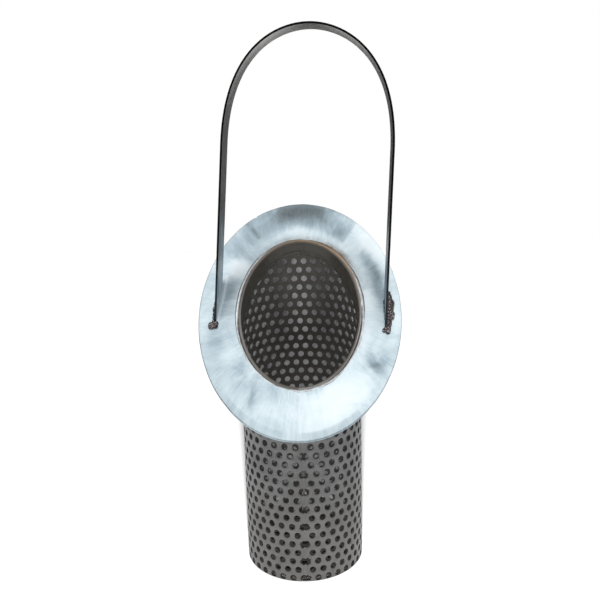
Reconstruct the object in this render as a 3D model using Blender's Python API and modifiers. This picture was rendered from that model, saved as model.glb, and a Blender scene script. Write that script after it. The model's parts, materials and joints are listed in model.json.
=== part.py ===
"""Slant-top strainer basket: a perforated tube with a sloping ring flange and a strap handle.

The tube's axis is Z and its closed end stands on Z = 0. The flange slopes down towards -Y.
All lengths are in metres.
"""

from math import atan, cos, pi, radians, sin, sqrt, tan

import bmesh
import bpy
from mathutils import Matrix, Vector

# ---------------------------------------------------------------- driving dimensions
GAP = 0.0003                      # air left between touching pieces
SEGMENTS = 96                     # sides of the large round pieces

SHELL_R = 0.045                   # outer radius of the perforated tube
SHELL_T = 0.0015                  # its sheet
SEAM_ANGLE = radians(2.0)         # where the tube's butt seam is, turned from -Y towards +X
SEAM_W = 0.0026                   # width of the seam's gap

HOLE_D = 0.0048                   # round holes in the floor plate
HOLE_PITCH = 0.008                # distance between hole centres, in rows 60 degrees apart
FLOOR_T = 0.0015
FLOOR_R = SHELL_R - SHELL_T - GAP
FLOOR_RIM = 0.0068                # plain edge left around the floor's holes

FLANGE_R = 0.075                  # outer radius, seen along the tube's axis
FLANGE_T = 0.0025
FLANGE_TILT = radians(43.6)
FLANGE_Z = 0.1952                 # height of the top face's plane on the axis

NECK_T = 0.002                    # plain band between the tube and the flange
NECK_R = SHELL_R + 0.0005
RIM_TILT = radians(45.3)          # cut of the band's top edge
RIM_Z = 0.1950
JOINT_TILT = atan(1.3)            # cut between the band and the tube
JOINT_Z = 0.1740
JOINT_GAP = 0.0034                # measured up the axis

STRAP_W = 0.025
STRAP_T = 0.0015
STRAP_ORIGIN = (0.0004, 0.0028, 0.1875)   # middle of the handle between its feet
STRAP_LEAN = radians(3.5)         # the handle leans towards +X,
STRAP_BACK = radians(-0.9)        # a little towards +Y,
STRAP_TURN = radians(-1.35)       # is turned about Z
STRAP_SKEW = -0.03                # and is skewed, so that its left foot stands further back
FOOT_HALF = 0.0633                # from the middle to a leg, at the leg's end and at the arch
ARCH_HALF = 0.0598
FOOT_DROP = 0.050                 # legs start this far under the origin and are cut to length
ARCH_RISE = 0.1256
APEX_RISE = 0.2072
LEG_PULL = 0.813                  # how far the arch's curve keeps on up from the leg and along
CROWN_PULL = 0.358                # its crown, as shares of the arch's rise and half-width

SEAM_PROUD = 0.0004
FLOOR_BEAD = 0.0006               # radii of the weld beads
JOINT_BEAD = 0.00065
RIM_BEAD_W = 0.0020               # width of the ground weld round the neck
RIM_PROUD = 0.0003
FOOT_BEADS = {-1: 0.0021, 1: 0.0016}   # left and right foot

STEEL = (0.55, 0.56, 0.57)
GROUND = (0.72, 0.74, 0.76)
WELD = (0.16, 0.13, 0.13)
TINTED = (0.42, 0.36, 0.30)


# ---------------------------------------------------------------- scene and helpers
def clear_scene():
    for ob in list(bpy.data.objects):
        bpy.data.objects.remove(ob, do_unlink=True)
    for group in list(bpy.data.collections):
        bpy.data.collections.remove(group)


def new_group(name):
    group = bpy.data.collections.new(name)
    bpy.context.scene.collection.children.link(group)
    return group


def steel(name, colour, roughness, metallic=1.0):
    mat = bpy.data.materials.new(name)
    mat.use_nodes = True
    shader = mat.node_tree.nodes["Principled BSDF"]
    shader.inputs["Base Color"].default_value = (*colour, 1.0)
    shader.inputs["Roughness"].default_value = roughness
    shader.inputs["Metallic"].default_value = metallic
    return mat


def add_mesh(name, bm, group, mat=None):
    mesh = bpy.data.meshes.new(name)
    bm.to_mesh(mesh)
    bm.free()
    mesh.shade_smooth()
    mesh.set_sharp_from_angle(angle=radians(40))
    ob = bpy.data.objects.new(name, mesh)
    if mat:
        mesh.materials.append(mat)
    group.objects.link(ob)
    return ob


def as_cutter(ob):
    ob.hide_render = True
    ob.display_type = "WIRE"
    return ob


def cut(ob, cutter):
    mod = ob.modifiers.new("Cut by " + cutter.name, "BOOLEAN")
    mod.operation = "DIFFERENCE"
    mod.solver = "EXACT"
    mod.object = cutter


def rolled_sheet(name, radius, thickness, low, high, angle, steps, group, mat):
    """A sheet rolled about Z: its outer face is at radius, and angle is how far it goes round."""
    bm = bmesh.new()
    top = bm.verts.new((radius, 0, high))
    bottom = bm.verts.new((radius, 0, low))
    bm.edges.new((top, bottom))
    ob = add_mesh(name, bm, group, mat)
    screw = ob.modifiers.new("Roll", "SCREW")
    screw.angle = angle
    screw.steps = screw.render_steps = steps
    screw.use_merge_vertices = angle > 2 * pi - 1e-6
    screw.merge_threshold = 0.00001
    solid = ob.modifiers.new("Sheet", "SOLIDIFY")
    solid.thickness = thickness
    solid.offset = -1
    solid.use_even_offset = True
    return ob


def slanted_block(name, height, tilt, above, group):
    """A block whose one face is the plane through (0, 0, height), low at -Y, tilted by tilt."""
    size = 0.6
    bm = bmesh.new()
    bmesh.ops.create_cube(bm, size=size)
    shift = size / 2 if above else -size / 2
    turn = Matrix.Rotation(tilt, 4, "X")
    bmesh.ops.transform(bm, matrix=turn @ Matrix.Translation((0, 0, shift)), verts=bm.verts)
    bmesh.ops.translate(bm, vec=(0, 0, height), verts=bm.verts)
    return as_cutter(add_mesh(name, bm, group))


def bead(name, points, radius, closed, group, mat, sides=2):
    """A weld bead: a tube of the given radius through points."""
    data = bpy.data.curves.new(name, "CURVE")
    data.dimensions = "3D"
    data.bevel_depth = radius
    data.bevel_resolution = sides
    data.use_fill_caps = not closed
    line = data.splines.new("POLY")
    line.points.add(len(points) - 1)
    for spot, place in zip(line.points, points):
        spot.co = (*place, 1)
    line.use_cyclic_u = closed
    ob = bpy.data.objects.new(name, data)
    data.materials.append(mat)
    group.objects.link(ob)
    return ob


def around(angle, radius):
    """The point at angle round the tube, counted from -Y towards +X."""
    return radius * sin(angle), -radius * cos(angle)


def flange_height(y, lift=0.0):
    """Height of a point at y that is lift above the flange's top face, square to it."""
    return FLANGE_Z + y * tan(FLANGE_TILT) + lift / cos(FLANGE_TILT)


# ---------------------------------------------------------------- the tube and its floor
def perforated_shell(group, mat, top_cutter):
    """The rolled tube. Its holes are left out of this solid; the seam's gap is open."""
    gap_angle = SEAM_W / SHELL_R
    ob = rolled_sheet("perforated_shell", SHELL_R, SHELL_T, 0.0, 0.26,
                      2 * pi - gap_angle, SEGMENTS, group, mat)
    ob.rotation_euler.z = -pi / 2 + SEAM_ANGLE + gap_angle / 2
    cut(ob, top_cutter)
    return ob


def shell_seam_weld(group, mat, top_cutter):
    """The ground bead that closes the tube's butt seam from the floor to the joint."""
    gap_angle = SEAM_W / SHELL_R
    clear = GAP / SHELL_R
    angle = gap_angle - 2 * clear
    ob = rolled_sheet("shell_seam_weld", SHELL_R + SEAM_PROUD, SHELL_T + SEAM_PROUD, 0.0, 0.26,
                      angle, 2, group, mat)
    ob.rotation_euler.z = -pi / 2 + SEAM_ANGLE - angle / 2
    cut(ob, top_cutter)
    return ob


def bottom_plate(group, cutters, mat):
    """A perforated disc set inside the tube's lower end, with no hole at its middle."""
    bm = bmesh.new()
    bmesh.ops.create_cone(bm, cap_ends=True, segments=SEGMENTS, radius1=FLOOR_R, radius2=FLOOR_R,
                          depth=FLOOR_T)
    bmesh.ops.translate(bm, vec=(0, 0, FLOOR_T / 2), verts=bm.verts)
    ob = add_mesh("bottom_plate", bm, group, mat)

    row_step = HOLE_PITCH * sqrt(3) / 2
    first = Vector((0, HOLE_PITCH / sqrt(3)))
    reach = FLOOR_R - FLOOR_RIM
    bm = bmesh.new()
    for row in range(-7, 8):
        for column in range(-8, 9):
            x = first.x + (column + 0.5 * (row % 2)) * HOLE_PITCH
            y = first.y + row * row_step
            if x * x + y * y < reach * reach:
                bmesh.ops.create_cone(bm, cap_ends=True, segments=10, radius1=HOLE_D / 2,
                                      radius2=HOLE_D / 2, depth=3 * FLOOR_T,
                                      matrix=Matrix.Translation((x, y, FLOOR_T / 2)))
    cut(ob, as_cutter(add_mesh("floor_holes", bm, cutters)))
    return ob


def bottom_weld(group, mat):
    radius = SHELL_R - SHELL_T - GAP - FLOOR_BEAD
    height = FLOOR_T + GAP + FLOOR_BEAD
    points = [(*around(2 * pi * k / 72, radius), height) for k in range(72)]
    return bead("bottom_weld", points, FLOOR_BEAD, True, group, mat, sides=1)


# ---------------------------------------------------------------- neck and flange
def neck_band(group, mat, top_cutter, bottom_cutter):
    """The plain band between the tube and the flange, cut on the slant at both ends."""
    ob = rolled_sheet("neck_band", NECK_R, NECK_T, 0.10, 0.26, 2 * pi, SEGMENTS, group, mat)
    cut(ob, top_cutter)
    cut(ob, bottom_cutter)
    return ob


def neck_joint_weld(group, mat):
    radius = SHELL_R - SHELL_T / 2 + 0.0001
    points = []
    for k in range(72):
        x, y = around(2 * pi * k / 72, radius)
        points.append((x, y, JOINT_Z + y * tan(JOINT_TILT)))
    return bead("neck_joint_weld", points, JOINT_BEAD, True, group, mat, sides=1)


def flange_plate(group, cutters, mat):
    """An oval ring plate that looks round along the tube's axis, with a hole cut to the neck."""
    bm = bmesh.new()
    bmesh.ops.create_cone(bm, cap_ends=True, segments=128, radius1=FLANGE_R, radius2=FLANGE_R,
                          depth=FLANGE_T)
    bmesh.ops.scale(bm, vec=(1, 1 / cos(FLANGE_TILT), 1), verts=bm.verts)
    bmesh.ops.translate(bm, vec=(0, 0, -FLANGE_T / 2), verts=bm.verts)
    ob = add_mesh("flange_plate", bm, group, mat)
    ob.rotation_euler.x = FLANGE_TILT
    ob.location.z = FLANGE_Z

    bm = bmesh.new()
    hole = NECK_R + 2 * GAP + RIM_BEAD_W
    bmesh.ops.create_cone(bm, cap_ends=True, segments=SEGMENTS, radius1=hole, radius2=hole,
                          depth=0.3)
    bmesh.ops.translate(bm, vec=(0, 0, FLANGE_Z), verts=bm.verts)
    cut(ob, as_cutter(add_mesh("flange_hole", bm, cutters)))
    return ob


def rim_weld(group, mat, top_cutter, bottom_cutter):
    """The ring of weld between neck and flange, ground almost flush with the flange."""
    ob = rolled_sheet("rim_weld", NECK_R + GAP + RIM_BEAD_W, RIM_BEAD_W, 0.10, 0.26, 2 * pi,
                      SEGMENTS, group, mat)
    cut(ob, top_cutter)
    cut(ob, bottom_cutter)
    return ob


# ---------------------------------------------------------------- handle
def strap_frame():
    """Carries the handle's own frame, with its legs along Z and its width along Y, into place."""
    skew = Matrix.Identity(4)
    skew[1][0] = STRAP_SKEW
    turn = Matrix.Rotation(STRAP_TURN, 4, "Z") @ Matrix.Rotation(STRAP_BACK, 4, "X")
    lean = Matrix.Rotation(STRAP_LEAN, 4, "Y")
    return Matrix.Translation(STRAP_ORIGIN) @ skew @ turn @ lean


def strap_ribbon():
    """The strap's middle surface, flat on the XZ plane seen from the front: legs and one arch."""
    leg = Vector((ARCH_HALF - FOOT_HALF, ARCH_RISE + FOOT_DROP))
    up_the_leg = leg.normalized() * LEG_PULL * (APEX_RISE - ARCH_RISE)
    over_the_arch = Vector((CROWN_PULL * ARCH_HALF, 0))
    foot = Vector((FOOT_HALF, -FOOT_DROP))
    shoulder = Vector((ARCH_HALF, ARCH_RISE))
    apex = Vector((0, APEX_RISE))
    right = [(foot, foot - leg / 3, foot + leg / 3),
             (shoulder, shoulder - leg / 3, shoulder + up_the_leg),
             (apex, apex + over_the_arch, apex - over_the_arch)]
    mirror = Matrix.Scale(-1, 2, Vector((1, 0)))
    left = [(mirror @ knot, mirror @ onward, mirror @ back) for knot, back, onward in right[-2::-1]]

    data = bpy.data.curves.new("handle_line", "CURVE")
    data.dimensions = "2D"
    data.fill_mode = "NONE"
    data.resolution_u = 12
    data.extrude = STRAP_W / 2            # the strap's width, across the XZ plane once stood up
    line = data.splines.new("BEZIER")
    knots = right + left
    line.bezier_points.add(len(knots) - 1)
    for point, (knot, back, onward) in zip(line.bezier_points, knots):
        point.handle_left_type = point.handle_right_type = "FREE"
        point.co = (*knot, 0)
        point.handle_left = (*back, 0)
        point.handle_right = (*onward, 0)
    guide = bpy.data.objects.new("handle_line", data)
    bpy.context.scene.collection.objects.link(guide)
    bpy.context.view_layer.update()
    evaluated = guide.evaluated_get(bpy.context.evaluated_depsgraph_get())
    mesh = bpy.data.meshes.new_from_object(evaluated)
    bpy.data.objects.remove(guide, do_unlink=True)
    return mesh


def handle_strap(group, mat, foot_cutter):
    """A bent flat bar: the ribbon thickened, with both feet cut to the flange."""
    ribbon = strap_ribbon()
    bm = bmesh.new()
    bm.from_mesh(ribbon)
    bmesh.ops.remove_doubles(bm, verts=bm.verts, dist=0.00001)
    stand_up = Matrix.Rotation(pi / 2, 4, "X")
    bmesh.ops.transform(bm, matrix=strap_frame() @ stand_up, verts=bm.verts)
    ob = add_mesh("handle_strap", bm, group, mat)
    solid = ob.modifiers.new("Bar", "SOLIDIFY")
    solid.thickness = STRAP_T
    solid.offset = 0
    solid.use_even_offset = True
    cut(ob, foot_cutter)
    return ob


def foot_line(along, side):
    """Where the outer face of a leg meets the flange's top, at a place along the strap's width."""
    frame = strap_frame()
    thick = STRAP_T / 2
    low = frame @ Vector((side * (FOOT_HALF + thick), along, -FOOT_DROP))
    high = frame @ Vector((side * (ARCH_HALF + thick), along, ARCH_RISE))
    over_low = low.z - flange_height(low.y)
    over_high = high.z - flange_height(high.y)
    return low.lerp(high, over_low / (over_low - over_high))


def foot_weld(name, side, group, mat):
    """The bead down the outer side of one foot, with its front end turned in under the strap."""
    radius = FOOT_BEADS[side]
    out = radius + 2 * GAP
    half = STRAP_W / 2
    route = [(half - 0.001, out), (half / 2, out), (0, out), (-half / 2, out), (-half, out),
             (-half - 0.9 * out, 0.7 * out), (-half - out, -0.0005), (-half - out, -0.002)]
    points = []
    for along, across in route:
        spot = foot_line(along, side)
        points.append((spot.x + side * across, spot.y, flange_height(spot.y, radius + GAP)))
    return bead(name, points, radius, False, group, mat, sides=2)


# ---------------------------------------------------------------- assembly
def build():
    clear_scene()
    parts = new_group("strainer_basket")
    cutters = new_group("cutters")

    satin = steel("perforated_steel", STEEL, 0.42)
    ground = steel("ground_steel", GROUND, 0.28)
    strap = steel("strap_steel", STEEL, 0.35)
    tinted = steel("tinted_steel", TINTED, 0.4)
    crust = steel("weld_crust", WELD, 0.6, 0.7)

    half_gap = JOINT_GAP / 2
    over_shell = slanted_block("over_shell", JOINT_Z - half_gap, JOINT_TILT, True, cutters)
    under_neck = slanted_block("under_neck", JOINT_Z + half_gap, JOINT_TILT, False, cutters)
    over_neck = slanted_block("over_neck", RIM_Z, RIM_TILT, True, cutters)
    under_feet = slanted_block("under_feet", flange_height(0, GAP), FLANGE_TILT, False, cutters)
    over_rim = slanted_block("over_rim", flange_height(0, RIM_PROUD), FLANGE_TILT, True, cutters)
    under_rim = slanted_block("under_rim", flange_height(0, -FLANGE_T), FLANGE_TILT, False, cutters)

    perforated_shell(parts, satin, over_shell)
    shell_seam_weld(parts, satin, over_shell)
    bottom_plate(parts, cutters, satin)
    bottom_weld(parts, crust)
    neck_band(parts, tinted, over_neck, under_neck)
    neck_joint_weld(parts, crust)
    flange_plate(parts, cutters, ground)
    rim_weld(parts, tinted, over_rim, under_rim)
    handle_strap(parts, strap, under_feet)
    foot_weld("handle_weld_left", -1, parts, crust)
    foot_weld("handle_weld_right", 1, parts, crust)


build()
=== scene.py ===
"""Looks of the slant-top strainer basket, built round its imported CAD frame.

Lengths are in metres and angles in radians. Round the tube, an angle counts from -Y towards +X.
"""

import json
import random
from math import atan2, cos, exp, pi, radians, sin, sqrt

import bmesh
import bpy
from mathutils import Matrix, Vector, noise


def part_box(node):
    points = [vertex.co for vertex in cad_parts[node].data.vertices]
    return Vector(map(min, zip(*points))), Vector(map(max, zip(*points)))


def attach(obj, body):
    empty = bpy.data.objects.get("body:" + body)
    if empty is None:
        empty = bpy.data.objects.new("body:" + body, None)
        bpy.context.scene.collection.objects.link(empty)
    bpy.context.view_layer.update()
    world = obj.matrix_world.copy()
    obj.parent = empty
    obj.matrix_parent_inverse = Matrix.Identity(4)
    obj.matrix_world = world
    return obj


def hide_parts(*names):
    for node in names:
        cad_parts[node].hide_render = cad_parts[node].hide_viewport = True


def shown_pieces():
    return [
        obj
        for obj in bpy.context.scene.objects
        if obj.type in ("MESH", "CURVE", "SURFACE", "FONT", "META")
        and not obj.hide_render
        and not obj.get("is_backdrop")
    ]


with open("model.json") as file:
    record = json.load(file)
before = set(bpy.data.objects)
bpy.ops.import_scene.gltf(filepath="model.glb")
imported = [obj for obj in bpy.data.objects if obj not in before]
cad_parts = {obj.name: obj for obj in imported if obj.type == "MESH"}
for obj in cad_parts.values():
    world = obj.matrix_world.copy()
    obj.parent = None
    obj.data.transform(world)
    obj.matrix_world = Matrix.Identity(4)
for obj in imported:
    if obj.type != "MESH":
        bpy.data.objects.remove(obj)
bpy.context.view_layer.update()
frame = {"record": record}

# ---------------------------------------------------------------- sizes read from the frame
MOUNTS = {mount["name"]: mount for mount in frame["record"]["mounts"]}
MM = 0.001
GAP = 0.3 * MM  # air that the CAD leaves between its pieces

SHELL_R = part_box("perforated_shell")[1][0]
FLOOR_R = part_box("bottom_plate")[1][0]
FLOOR_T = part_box("bottom_plate")[1][2]
WALL = SHELL_R - FLOOR_R - GAP
BORE_R = SHELL_R - WALL

FLANGE_N = Vector(MOUNTS["flange_top"]["axis"]).normalized()
FLANGE_P = Vector(MOUNTS["flange_top"]["pos_m"])
FLANGE_SLOPE = -FLANGE_N.y / FLANGE_N.z
FLANGE_Z = FLANGE_P.z - FLANGE_P.y * FLANGE_SLOPE  # the top face's height on the axis
FLANGE_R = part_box("flange_plate")[1][0]
FLANGE_T = 2.5 * MM

NECK_LOW, NECK_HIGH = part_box("neck_band")
NECK_R = NECK_HIGH[0]
NECK_T = NECK_R - BORE_R
RIM_Z = FLANGE_Z - 0.2 * MM  # the band's top edge is cut a little steeper
RIM_SLOPE = (NECK_HIGH[2] - RIM_Z) / NECK_R

JOINT_GAP = 3.4 * MM  # between the tube and the band, up the axis
SHELL_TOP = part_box("perforated_shell")[1][2]
JOINT_SLOPE = (SHELL_TOP + JOINT_GAP - NECK_LOW[2]) / (SHELL_R + NECK_R)
SHELL_TOP_Z = SHELL_TOP - SHELL_R * JOINT_SLOPE  # the tube's top cut on the axis
JOINT_Z = SHELL_TOP_Z + JOINT_GAP / 2

# ---------------------------------------------------------------- the punched pattern
HOLE_R = 2.4 * MM
HALF_STEPS = 70  # half pitches round the tube
SEAM_ANGLE = radians(1.96)  # the seam is a little right of the front's middle
SEAM_W = 2.743 * MM  # between the hole centres beside the seam
HALF_STEP = (2 * pi - SEAM_W / SHELL_R) / HALF_STEPS
PITCH = 2 * HALF_STEP * SHELL_R
ROW_STEP = PITCH * sqrt(3) / 2
TOP_ROW_Z = 106.5 * MM  # row 0: the first one seen under the flange
ROWS = range(-18, 16)

# ---------------------------------------------------------------- the handle, as in the CAD
STRAP_W = 25 * MM
STRAP_T = 1.5 * MM
STRAP_ORIGIN = (0.0004, 0.0028, 0.1875)
STRAP_LEAN = radians(3.5)
STRAP_BACK = radians(-0.9)
STRAP_TURN = radians(-1.35)
STRAP_SKEW = -0.03  # how far the handle's plane runs forward, per metre to the right
FOOT_HALF = 63.3 * MM
ARCH_HALF = 59.8 * MM
FOOT_DROP = 50 * MM
ARCH_RISE = 125.6 * MM
APEX_RISE = 207.1 * MM
LEG_PULL = 0.813  # the crown curve's pull at the shoulder
CROWN_PULL = 0.358  # and at the top, as shares of rise and half width

# ---------------------------------------------------------------- camera and light
CAMERA_PLACE = Vector((0.01946, -0.51427, 0.32009))
CAMERA_YAW = radians(2.124)
CAMERA_PITCH = radians(-12.831)
CAMERA_ROLL = radians(-1.38)
CAMERA_LENS = 43.004  # millimetres, on a sensor 36 mm wide
STUDIO_HALF = 1.5
ROOM_LIGHT = 0.10
FLOOR_LIGHT = 84.0  # shared evenly by the floor's lamps
FLOOR_LAMP_HEIGHTS = (0.09, 0.12, 0.15)
FLOOR_LAMP_R = 17 * MM
PANEL_PLACE, PANEL_SIZE, PANEL_LIGHT = (0.05, -0.30, 1.55), 1.7, 1.15
SOFTBOX_PLACE, SOFTBOX_SIZE, SOFTBOX_LIGHT = (-0.9, -1.3, 0.75), 0.5, 0.75


# ---------------------------------------------------------------- mesh helpers
def around(angle, radius):
    return radius * sin(angle), -radius * cos(angle)


def flange_height(y, lift=0.0):
    return FLANGE_Z + y * FLANGE_SLOPE + lift / FLANGE_N.z


def wobble(*place, scale=1.0, octaves=3):
    """Smooth noise from about -1 to 1, the same on every run."""
    return noise.fractal(Vector(place) * scale, 0.8, 2.1, octaves)


def bump(value, centre, width):
    """A bell from 0 to 1, highest at the centre."""
    return exp(-(((value - centre) / width) ** 2))


def smooth(low, high, value):
    """A soft step from 0 at low to 1 at high."""
    t = min(1.0, max(0.0, (value - low) / (high - low)))
    return t * t * (3 - 2 * t)


def turned_from(middle, degrees):
    """How far round degrees is from middle, between -180 and 180."""
    return (degrees - middle + 180) % 360 - 180


def finished(name, mesh, material, sharp=35):
    mesh.materials.append(material)
    mesh.shade_smooth()
    mesh.set_sharp_from_angle(angle=radians(sharp))
    ob = bpy.data.objects.new(name, mesh)
    bpy.context.scene.collection.objects.link(ob)
    return ob


def from_faces(name, verts, faces, material, sharp):
    """A closed mesh from its points and faces, with all its faces turned outwards."""
    mesh = bpy.data.meshes.new(name)
    mesh.from_pydata(verts, [], faces)
    bm = bmesh.new()
    bm.from_mesh(mesh)
    bmesh.ops.recalc_face_normals(bm, faces=bm.faces)
    bm.to_mesh(mesh)
    bm.free()
    return finished(name, mesh, material, sharp)


def loft(sections, closed):
    """(points, faces) of a skin over sections, which are closed loops of equally many points."""
    count = len(sections[0])
    verts = [tuple(point) for section in sections for point in section]
    faces = []
    spans = len(sections) if closed else len(sections) - 1
    for i in range(spans):
        a, b = i * count, (i + 1) % len(sections) * count
        for k in range(count):
            n = (k + 1) % count
            faces.append((a + k, a + n, b + n, b + k))
    if not closed:
        last = (len(sections) - 1) * count
        faces.append(tuple(range(count - 1, -1, -1)))
        faces.append(tuple(range(last, last + count)))
    return verts, faces


def joined(shells):
    """One list of points and one of faces from several."""
    verts, faces = [], []
    for more, more_faces in shells:
        first = len(verts)
        verts += more
        faces += [tuple(first + index for index in face) for face in more_faces]
    return verts, faces


def paint(ob, name, values):
    """Gives every vertex of ob a number that its material reads by name.

    Heat tint is painted as "scorch", because the renderer keeps the name "heat" for itself.
    """
    layer = ob.data.attributes.new(name, "FLOAT", "POINT")
    layer.data.foreach_set("value", values)


# ---------------------------------------------------------------- material helpers
class Shader:
    """A material's node tree, and short ways to add nodes to it."""

    def __init__(self, name, **constants):
        self.material = bpy.data.materials.new(name)
        self.material.use_nodes = True
        self.tree = self.material.node_tree
        self.principled = self.tree.nodes["Principled BSDF"]
        for key, value in constants.items():
            self.principled.inputs[key.replace("_", " ")].default_value = value

    def node(self, kind, inputs=(), **settings):
        made = self.tree.nodes.new(kind)
        for key, value in settings.items():
            setattr(made, key, value)
        for key, value in dict(inputs).items():
            if isinstance(value, bpy.types.NodeSocket):
                self.tree.links.new(value, made.inputs[key])
            else:
                made.inputs[key].default_value = value
        return made

    def math(self, operation, a, b=0.0, clamp=False):
        made = self.node("ShaderNodeMath", {0: a, 1: b}, operation=operation, use_clamp=clamp)
        return made.outputs[0]

    def place(self):
        return self.node("ShaderNodeTexCoord").outputs["Object"]

    def stretched(self, vector, scale):
        return self.node("ShaderNodeMapping", {"Vector": vector, "Scale": scale}).outputs[0]

    def polar(self, turns, radial, along):
        """Coordinates round the Z axis: angle, radius and height, each with its own scale."""
        x, y, z = self.node("ShaderNodeSeparateXYZ", {0: self.place()}).outputs
        angle = self.math("ARCTAN2", x, self.math("MULTIPLY", y, -1.0))
        reach = self.math("SQRT", self.math("ADD", self.math("MULTIPLY", x, x),
                                            self.math("MULTIPLY", y, y)))
        return self.node("ShaderNodeCombineXYZ", {0: self.math("MULTIPLY", angle, turns),
                                                  1: self.math("MULTIPLY", reach, radial),
                                                  2: self.math("MULTIPLY", z, along)}).outputs[0]

    def noise(self, vector, scale, detail, rough, twist=0.0):
        return self.node("ShaderNodeTexNoise", {"Vector": vector, "Scale": scale, "Detail": detail,
                                                "Roughness": rough, "Distortion": twist}).outputs[0]

    def attribute(self, name):
        return self.node("ShaderNodeAttribute", attribute_name=name).outputs["Fac"]

    def ramp(self, value, *stops):
        """Colours, or greys given as plain numbers, at places from 0 to 1."""
        made = self.node("ShaderNodeValToRGB", {0: value})
        band = made.color_ramp
        while len(band.elements) < len(stops):
            band.elements.new(0.5)
        for element, (at, colour) in zip(band.elements, stops):
            if not isinstance(colour, tuple):
                colour = (colour, colour, colour)
            element.position = at
            element.color = (*colour, 1)
        return made.outputs[0]

    def mix(self, factor, a, b, blend="MIX"):
        made = self.node("ShaderNodeMix", data_type="RGBA", blend_type=blend)
        for index, value in ((0, factor), (6, a), (7, b)):
            if isinstance(value, bpy.types.NodeSocket):
                self.tree.links.new(value, made.inputs[index])
            elif isinstance(value, tuple):
                made.inputs[index].default_value = (*value, 1)
            else:
                made.inputs[index].default_value = value
        return made.outputs[2]

    def relief(self, height, distance, strength, under=None):
        inputs = {"Height": height, "Distance": distance, "Strength": strength}
        if under:
            inputs["Normal"] = under
        return self.node("ShaderNodeBump", inputs).outputs[0]

    def bare_metal(self, inside_dulling):
        """Metallic outside; inside the tube and band, whose colour is painted shade, that share of
        it is taken away.
        """
        inside_dulled = self.math("MULTIPLY", self.attribute("inside"), inside_dulling)
        self.tree.links.new(self.math("SUBTRACT", 1.0, inside_dulled), self.principled.inputs["Metallic"])

    def finish(self, colour, roughness, normal=None):
        links = self.tree.links
        links.new(colour, self.principled.inputs["Base Color"])
        links.new(roughness, self.principled.inputs["Roughness"])
        if normal:
            links.new(normal, self.principled.inputs["Normal"])
        return self.material


def perforated_steel():
    """Satin mill sheet: drawing lines, stains, heat tint by the welds, painted shade inside."""
    s = Shader("perforated_steel")
    place = s.place()
    clouds = s.noise(place, 38.0, 5.0, 0.6, 0.6)
    grain = s.noise(s.stretched(place, (1.0, 1.0, 0.22)), 2600.0, 3.0, 0.6)
    lines = s.noise(s.polar(160.0, 0.0, 14.0), 1.0, 4.0, 0.6)
    grey = s.ramp(clouds, (0.32, (0.165, 0.167, 0.171)), (0.68, (0.235, 0.234, 0.236)))
    grey = s.mix(0.30, grey, s.ramp(lines, (0.35, 0.28), (0.65, 0.52)), "OVERLAY")
    grey = s.mix(0.22, grey, s.ramp(grain, (0.30, 0.25), (0.70, 0.75)), "OVERLAY")
    heat = s.attribute("scorch")
    burnt = s.mix(clouds, (0.15, 0.135, 0.11), (0.20, 0.195, 0.20))
    colour = s.mix(s.math("MULTIPLY", heat, 0.75, True), grey, burnt)
    # tint: a warmer grey low on the outside; on the inside, painted light that lifts the painted
    # shade low down.
    tint = s.attribute("tint")
    colour = s.mix(s.math("MULTIPLY", tint, 0.5, True), colour, (0.20, 0.185, 0.16))
    edge = s.attribute("edge")
    colour = s.mix(s.math("MULTIPLY", edge, 0.55, True), colour, (0.16, 0.16, 0.165))
    # The inside's colour is painted shade: a dark, dull grey, which the tint mask lifts low down as
    # painted light.
    painted_inside_shade = s.mix(s.noise(place, 160.0, 4.0, 0.6), (0.080, 0.076, 0.066), (0.135, 0.128, 0.112))
    painted_inside_shade = s.mix(s.math("MULTIPLY", tint, 0.8, True), painted_inside_shade, (0.42, 0.40, 0.37))
    colour = s.mix(s.attribute("inside"), colour, painted_inside_shade)
    s.bare_metal(0.85)
    rough = s.ramp(s.noise(place, 210.0, 4.0, 0.6), (0.3, 0.36), (0.7, 0.52))
    normal = s.relief(grain, 0.02 * MM, 0.5)
    normal = s.relief(lines, 0.04 * MM, 0.5, normal)
    return s.finish(colour, rough, normal)


def ground_steel():
    """Bright, hand-ground plate: radial and curved grinding marks over tone patches, one a painted
    highlight.
    """
    s = Shader("ground_steel", Metallic=1.0)
    place = s.place()
    radial = s.noise(s.polar(17.0, 45.0, 0.0), 1.0, 5.0, 0.6, 0.7)
    fine = s.noise(s.polar(120.0, 170.0, 0.0), 1.0, 4.0, 0.6, 0.6)
    swirl = s.noise(place, 30.0, 6.0, 0.6, 1.0)
    tone = s.attribute("tone")
    for marks, share in ((radial, 0.22), (fine, 0.26), (swirl, 0.78)):
        tone = s.math("ADD", tone, s.math("MULTIPLY", s.math("SUBTRACT", marks, 0.5), share))
    colour = s.ramp(tone, (0.0, (0.085, 0.095, 0.105)), (0.30, (0.215, 0.265, 0.29)),
                    (0.55, (0.41, 0.51, 0.57)), (0.80, (0.72, 0.83, 0.88)),
                    (1.0, (0.87, 0.96, 1.0)))
    stain = s.mix(fine, (0.17, 0.14, 0.12), (0.36, 0.30, 0.26))
    colour = s.mix(s.attribute("scorch"), colour, stain)
    rough = s.ramp(s.math("ADD", s.math("MULTIPLY", fine, 0.5), s.math("MULTIPLY", swirl, 0.5)),
                   (0.3, 0.26), (0.7, 0.44))
    normal = s.relief(fine, 0.06 * MM, 0.6)
    normal = s.relief(radial, 0.25 * MM, 0.5, normal)
    return s.finish(colour, rough, normal)


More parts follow.
